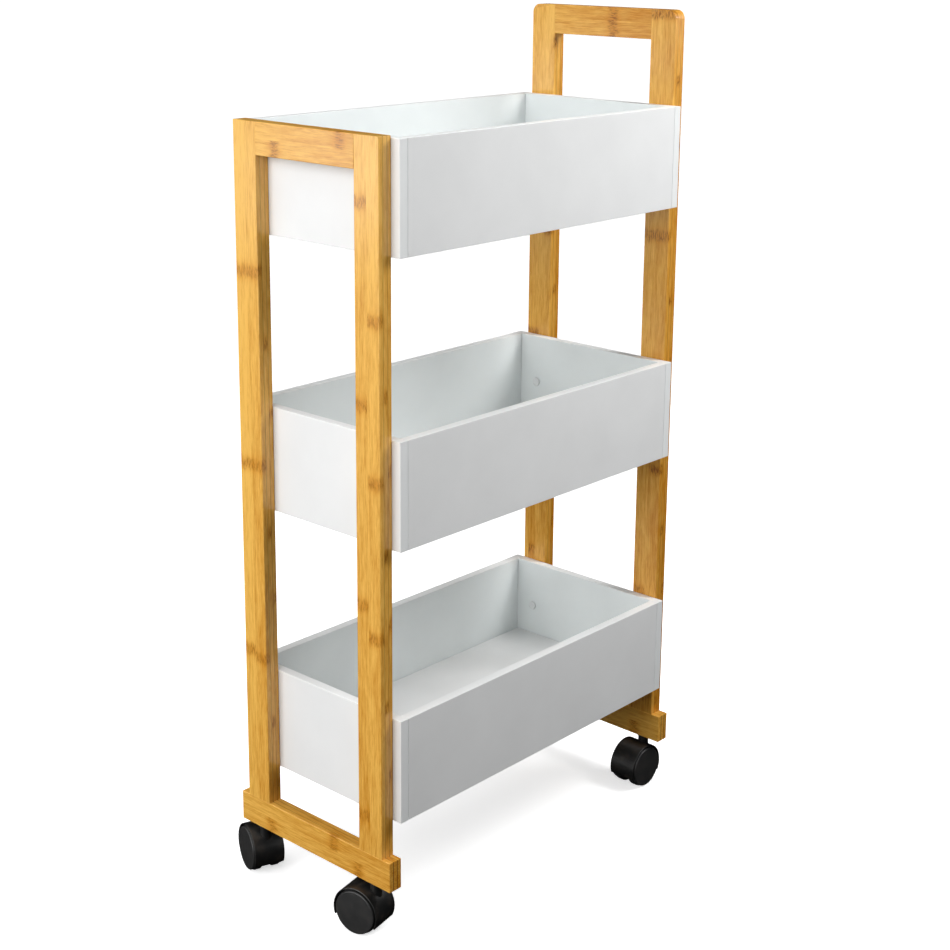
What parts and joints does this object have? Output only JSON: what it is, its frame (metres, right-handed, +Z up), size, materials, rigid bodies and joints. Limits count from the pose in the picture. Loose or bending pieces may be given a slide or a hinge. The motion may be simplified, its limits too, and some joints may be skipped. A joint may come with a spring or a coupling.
{
  "type": "rolling utility cart",
  "caption": "Narrow rolling cart with bamboo end frames, one taller with a handle, open white boxes stacked between them and black twin-wheel casters.",
  "frame": {"origin": "on the floor, in the middle of the footprint with the casters turned as in the rest pose", "axes": "+X along the cart towards the tall frame with the handle, +Y towards its left side, +Z up"},
  "size_m": [0.4598, 0.2226, 0.841],
  "materials": {
    "bamboo": "laminated bamboo strips under clear satin lacquer",
    "white_board": "white melamine-faced fibreboard, satin",
    "bolt_cap": "white coated, satin",
    "black_nylon": "moulded nylon, satin",
    "steel": "zinc plated"
  },
  "bodies": {
    "cart_frame": {"short_leg_left": "bamboo", "short_leg_right": "bamboo", "short_top_rail": "bamboo", "short_foot_rail": "bamboo", "tall_leg_left": "bamboo", "tall_leg_right": "bamboo", "handle_rail": "bamboo", "tall_foot_rail": "bamboo", "lower_box_end_panel_short": "white_board", "lower_box_end_panel_tall": "white_board", "lower_box_side_panel_left": "white_board", "lower_box_side_panel_right": "white_board", "lower_box_base_panel": "white_board", "lower_bolt_short_left": "bolt_cap", "lower_bolt_short_right": "bolt_cap", "lower_bolt_tall_left": "bolt_cap", "lower_bolt_tall_right": "bolt_cap", "middle_box_end_panel_short": "white_board", "middle_box_end_panel_tall": "white_board", "middle_box_side_panel_left": "white_board", "middle_box_side_panel_right": "white_board", "middle_box_base_panel": "white_board", "middle_bolt_short_left": "bolt_cap", "middle_bolt_short_right": "bolt_cap", "middle_bolt_tall_left": "bolt_cap", "middle_bolt_tall_right": "bolt_cap", "top_box_end_panel_short": "white_board", "top_box_end_panel_tall": "white_board", "top_box_side_panel_left": "white_board", "top_box_side_panel_right": "white_board", "top_box_base_panel": "white_board", "top_bolt_short_left": "bolt_cap", "top_bolt_short_right": "bolt_cap", "top_bolt_tall_left": "bolt_cap", "top_bolt_tall_right": "bolt_cap", "short_left_caster_stem": "steel", "short_left_caster_socket": "black_nylon", "short_right_caster_stem": "steel", "short_right_caster_socket": "black_nylon", "tall_right_caster_stem": "steel", "tall_right_caster_socket": "black_nylon", "tall_left_caster_stem": "steel", "tall_left_caster_socket": "black_nylon"},
    "short_left_caster": {"short_left_caster_hood": "black_nylon", "short_left_caster_axle": "steel"},
    "short_left_wheel_a": {"short_left_caster_wheel_a": "black_nylon"},
    "short_left_wheel_b": {"short_left_caster_wheel_b": "black_nylon"},
    "short_right_caster": {"short_right_caster_hood": "black_nylon", "short_right_caster_axle": "steel"},
    "short_right_wheel_a": {"short_right_caster_wheel_a": "black_nylon"},
    "short_right_wheel_b": {"short_right_caster_wheel_b": "black_nylon"},
    "tall_right_caster": {"tall_right_caster_hood": "black_nylon", "tall_right_caster_axle": "steel"},
    "tall_right_wheel_a": {"tall_right_caster_wheel_a": "black_nylon"},
    "tall_right_wheel_b": {"tall_right_caster_wheel_b": "black_nylon"},
    "tall_left_caster": {"tall_left_caster_hood": "black_nylon", "tall_left_caster_axle": "steel"},
    "tall_left_wheel_a": {"tall_left_caster_wheel_a": "black_nylon"},
    "tall_left_wheel_b": {"tall_left_caster_wheel_b": "black_nylon"}
  },
  "joints": [
    {"name": "short_left_swivel", "type": "hinge", "parent": "cart_frame", "child": "short_left_caster", "pos_m": [-0.20722, 0.06971, 0.05], "axis": [0, 0, 1], "continuous": true},
    {"name": "short_left_wheel_a_spin", "type": "hinge", "parent": "short_left_caster", "child": "short_left_wheel_a", "pos_m": [-0.20244, 0.08287, 0.0225], "axis": [-0.9397, 0.342, 0], "continuous": true},
    {"name": "short_left_wheel_b_spin", "type": "hinge", "parent": "short_left_caster", "child": "short_left_wheel_b", "pos_m": [-0.20244, 0.08287, 0.0225], "axis": [-0.9397, 0.342, 0], "continuous": true},
    {"name": "short_right_swivel", "type": "hinge", "parent": "cart_frame", "child": "short_right_caster", "pos_m": [-0.20722, -0.08629, 0.05], "axis": [0, 0, 1], "continuous": true},
    {"name": "short_right_wheel_a_spin", "type": "hinge", "parent": "short_right_caster", "child": "short_right_wheel_a", "pos_m": [-0.20989, -0.07254, 0.0225], "axis": [-0.9816, -0.1908, 0], "continuous": true},
    {"name": "short_right_wheel_b_spin", "type": "hinge", "parent": "short_right_caster", "child": "short_right_wheel_b", "pos_m": [-0.20989, -0.07254, 0.0225], "axis": [-0.9816, -0.1908, 0], "continuous": true},
    {"name": "tall_right_swivel", "type": "hinge", "parent": "cart_frame", "child": "tall_right_caster", "pos_m": [0.20778, -0.08629, 0.05], "axis": [0, 0, 1], "continuous": true},
    {"name": "tall_right_wheel_a_spin", "type": "hinge", "parent": "tall_right_caster", "child": "tall_right_wheel_a", "pos_m": [0.19378, -0.08629, 0.0225], "axis": [0, -1, 0], "continuous": true},
    {"name": "tall_right_wheel_b_spin", "type": "hinge", "parent": "tall_right_caster", "child": "tall_right_wheel_b", "pos_m": [0.19378, -0.08629, 0.0225], "axis": [0, -1, 0], "continuous": true},
    {"name": "tall_left_swivel", "type": "hinge", "parent": "cart_frame", "child": "tall_left_caster", "pos_m": [0.20778, 0.06971, 0.05], "axis": [0, 0, 1], "continuous": true},
    {"name": "tall_left_wheel_a_spin", "type": "hinge", "parent": "tall_left_caster", "child": "tall_left_wheel_a", "pos_m": [0.21021, 0.0835, 0.0225], "axis": [-0.9848, 0.1736, 0], "continuous": true},
    {"name": "tall_left_wheel_b_spin", "type": "hinge", "parent": "tall_left_caster", "child": "tall_left_wheel_b", "pos_m": [0.21021, 0.0835, 0.0225], "axis": [-0.9848, 0.1736, 0], "continuous": true}
  ]
}
